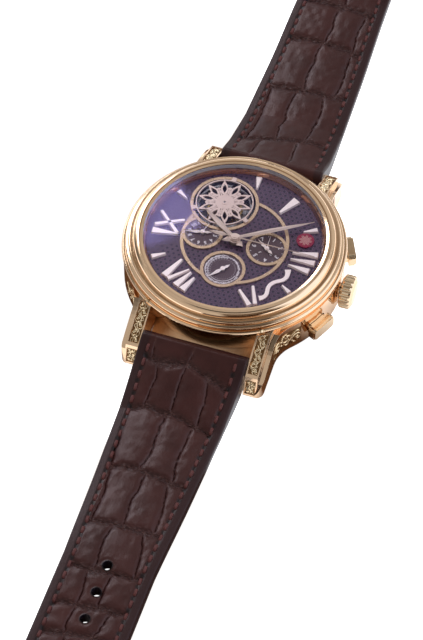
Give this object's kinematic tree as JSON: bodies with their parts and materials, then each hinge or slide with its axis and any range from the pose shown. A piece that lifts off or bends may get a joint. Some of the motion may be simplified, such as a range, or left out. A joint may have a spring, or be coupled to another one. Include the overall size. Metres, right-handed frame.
{
  "type": "tourbillon wristwatch",
  "caption": "Round dress watch with an open tourbillon, sub-dials, fluted crown, pushers and a scaled leather strap with a pin buckle.",
  "frame": {"origin": "centre of the watch's case on the plane that its back rests on", "axes": "+Z out of the dial, +Y towards twelve o'clock along the strap, +X towards the crown"},
  "size_m": [0.0484, 0.2585, 0.0146],
  "materials": {
    "rose_gold": "polished rose gold",
    "gold_furniture": "polished pale rose gold",
    "sapphire": "clear domed sapphire",
    "gasket": "smooth seal",
    "steel": "fine brushed and polished",
    "blued_steel": "heat blued",
    "brass": "gilt wheels",
    "dial_blue": "dark blue guilloche",
    "subdial_brown": "sunray brown",
    "red_enamel": "translucent enamel",
    "leather": "square scaled, semi matt",
    "lining": "smooth calf",
    "ruby": "polished jewel"
  },
  "bodies": {
    "case": {"case_middle": "rose_gold", "bezel": "rose_gold", "crystal": "sapphire", "crystal_gasket": "gasket", "case_back": "rose_gold", "case_back_gasket": "gasket", "back_crystal": "sapphire", "crown_tube": "rose_gold", "pusher_tubes": "rose_gold", "flange_ring": "rose_gold", "movement_ring": "steel", "dial": "dial_blue", "hour_markers": "gold_furniture", "subdial_frame": "gold_furniture", "subdial_discs": "subdial_brown", "red_roundel": "red_enamel", "ribbon_ornament": "gold_furniture", "tourbillon_ring": "gold_furniture", "filigree_bridge": "gold_furniture", "main_plate": "steel", "barrel_bridge": "steel", "train_bridge": "steel", "bridge_screws": "blued_steel", "fixed_wheel": "brass", "rotor_bearing": "steel", "spring_bars": "steel"},
    "barrel": {"barrel": "brass"},
    "centre_train": {"centre_wheel": "brass", "minute_hand": "gold_furniture"},
    "third_wheel": {"third_wheel": "brass"},
    "minute_wheel": {"minute_wheel": "brass"},
    "hour_hand": {"hour_hand": "gold_furniture"},
    "seconds_hand": {"seconds_hand": "gold_furniture"},
    "rotor": {"rotor": "rose_gold"},
    "cage": {"cage_lower": "steel", "cage_upper": "steel"},
    "balance": {"balance_wheel": "brass", "hairspring": "blued_steel"},
    "escape_wheel": {"escape_wheel": "steel"},
    "pallet_fork": {"pallet_fork": "ruby"},
    "left_hand": {"left_subdial_hand": "gold_furniture"},
    "left_needle": {"left_needle": "gold_furniture"},
    "right_hand": {"right_subdial_hand": "gold_furniture"},
    "right_needle": {"right_needle": "gold_furniture"},
    "bottom_hand": {"bottom_subdial_hand": "gold_furniture"},
    "winding_pinion": {"winding_pinion": "steel"},
    "crown": {"crown": "rose_gold", "winding_stem": "steel"},
    "upper_pusher": {"upper_pusher": "rose_gold"},
    "lower_pusher": {"lower_pusher": "rose_gold"},
    "strap_12": {"strap_upper": "leather", "lining_upper": "lining", "fixed_keeper": "leather", "buckle_bar": "steel"},
    "free_keeper": {"free_keeper": "leather"},
    "buckle": {"buckle_frame": "rose_gold"},
    "tongue": {"buckle_tongue": "rose_gold"},
    "strap_6": {"strap_lower": "leather", "lining_lower": "lining"}
  },
  "joints": [
    {"name": "cage_spin", "type": "hinge", "parent": "case", "child": "cage", "pos_m": [-0.00493, 0.00852, 0], "axis": [0, 0, -1], "continuous": true},
    {"name": "centre_spin", "type": "hinge", "parent": "case", "child": "centre_train", "pos_m": [0, 0, 0], "axis": [0, 0, -1], "continuous": true},
    {"name": "third_spin", "type": "hinge", "parent": "case", "child": "third_wheel", "pos_m": [-0.00413, 0.00348, 0], "axis": [0, 0, -1], "continuous": true},
    {"name": "barrel_spin", "type": "hinge", "parent": "case", "child": "barrel", "pos_m": [-0.00345, -0.00598, 0], "axis": [0, 0, -1], "continuous": true},
    {"name": "minute_wheel_spin", "type": "hinge", "parent": "case", "child": "minute_wheel", "pos_m": [0.00144, -0.00249, 0], "axis": [0, 0, -1], "continuous": true},
    {"name": "hour_spin", "type": "hinge", "parent": "case", "child": "hour_hand", "pos_m": [0, 0, 0], "axis": [0, 0, -1], "continuous": true},
    {"name": "seconds_spin", "type": "hinge", "parent": "case", "child": "seconds_hand", "pos_m": [0, 0, 0], "axis": [0, 0, -1], "continuous": true},
    {"name": "rotor_spin", "type": "hinge", "parent": "case", "child": "rotor", "pos_m": [0, 0, 0], "axis": [0, 0, -1], "continuous": true},
    {"name": "escape_spin", "type": "hinge", "parent": "cage", "child": "escape_wheel", "pos_m": [-0.00142, 0.01055, 0], "axis": [0, 0, -1], "continuous": true},
    {"name": "balance_swing", "type": "hinge", "parent": "cage", "child": "balance", "pos_m": [-0.00493, 0.00852, 0], "axis": [0, 0, -1], "range_deg": [-140, 140]},
    {"name": "pallet_swing", "type": "hinge", "parent": "cage", "child": "pallet_fork", "pos_m": [-0.00287, 0.00971, 0], "axis": [0, 0, -1], "range_deg": [-7.5, 7.5]},
    {"name": "left_hand_spin", "type": "hinge", "parent": "case", "child": "left_hand", "pos_m": [-0.0068, 0, 0], "axis": [0, 0, -1], "continuous": true},
    {"name": "left_needle_spin", "type": "hinge", "parent": "case", "child": "left_needle", "pos_m": [-0.0068, 0, 0], "axis": [0, 0, -1], "continuous": true},
    {"name": "right_hand_spin", "type": "hinge", "parent": "case", "child": "right_hand", "pos_m": [0.0068, 0, 0], "axis": [0, 0, -1], "continuous": true},
    {"name": "right_needle_spin", "type": "hinge", "parent": "case", "child": "right_needle", "pos_m": [0.0068, 0, 0], "axis": [0, 0, -1], "continuous": true},
    {"name": "bottom_hand_spin", "type": "hinge", "parent": "case", "child": "bottom_hand", "pos_m": [0, -0.0076, 0], "axis": [0, 0, -1], "continuous": true},
    {"name": "crown_turn", "type": "hinge", "parent": "case", "child": "winding_pinion", "pos_m": [0.012, 0, 0.0045], "axis": [1, 0, 0], "continuous": true},
    {"name": "crown_pull", "type": "slide", "parent": "winding_pinion", "child": "crown", "axis": [1, 0, 0], "range_m": [0, 0.0012]},
    {"name": "upper_pusher_press", "type": "slide", "parent": "case", "child": "upper_pusher", "axis": [-0.9063, -0.4226, 0], "range_m": [0, 0.0005], "stiffness_N_per_m": 400},
    {"name": "lower_pusher_press", "type": "slide", "parent": "case", "child": "lower_pusher", "axis": [-0.9063, 0.4226, 0], "range_m": [0, 0.0005], "stiffness_N_per_m": 400},
    {"name": "strap_12_hinge", "type": "hinge", "parent": "case", "child": "strap_12", "pos_m": [0, 0.02525, 0.0044], "axis": [-1, 0, 0], "range_deg": [-15, 80]},
    {"name": "strap_6_hinge", "type": "hinge", "parent": "case", "child": "strap_6", "pos_m": [0, -0.02525, 0.0044], "axis": [1, 0, 0], "range_deg": [-15, 80]},
    {"name": "free_keeper_slide", "type": "slide", "parent": "strap_12", "child": "free_keeper", "axis": [0, 1, 0], "range_m": [-0.004, 0.0045]},
    {"name": "buckle_hinge", "type": "hinge", "parent": "strap_12", "child": "buckle", "pos_m": [0, 0.10525, 0.00395], "axis": [1, 0, 0], "range_deg": [-30, 75]},
    {"name": "tongue_hinge", "type": "hinge", "parent": "buckle", "child": "tongue", "pos_m": [0, 0.10525, 0.00395], "axis": [1, 0, 0], "range_deg": [0, 55]}
  ],
  "couplings": [
    {"joint": "centre_spin", "follows": "cage_spin", "ratio": 0.016667},
    {"joint": "third_spin", "follows": "cage_spin", "ratio": -0.13333},
    {"joint": "barrel_spin", "follows": "cage_spin", "ratio": -0.0025},
    {"joint": "minute_wheel_spin", "follows": "cage_spin", "ratio": -0.0055556},
    {"joint": "hour_spin", "follows": "cage_spin", "ratio": 0.0013889},
    {"joint": "escape_spin", "follows": "cage_spin", "ratio": 8},
    {"joint": "pallet_swing", "follows": "balance_swing", "ratio": -0.05}
  ]
}
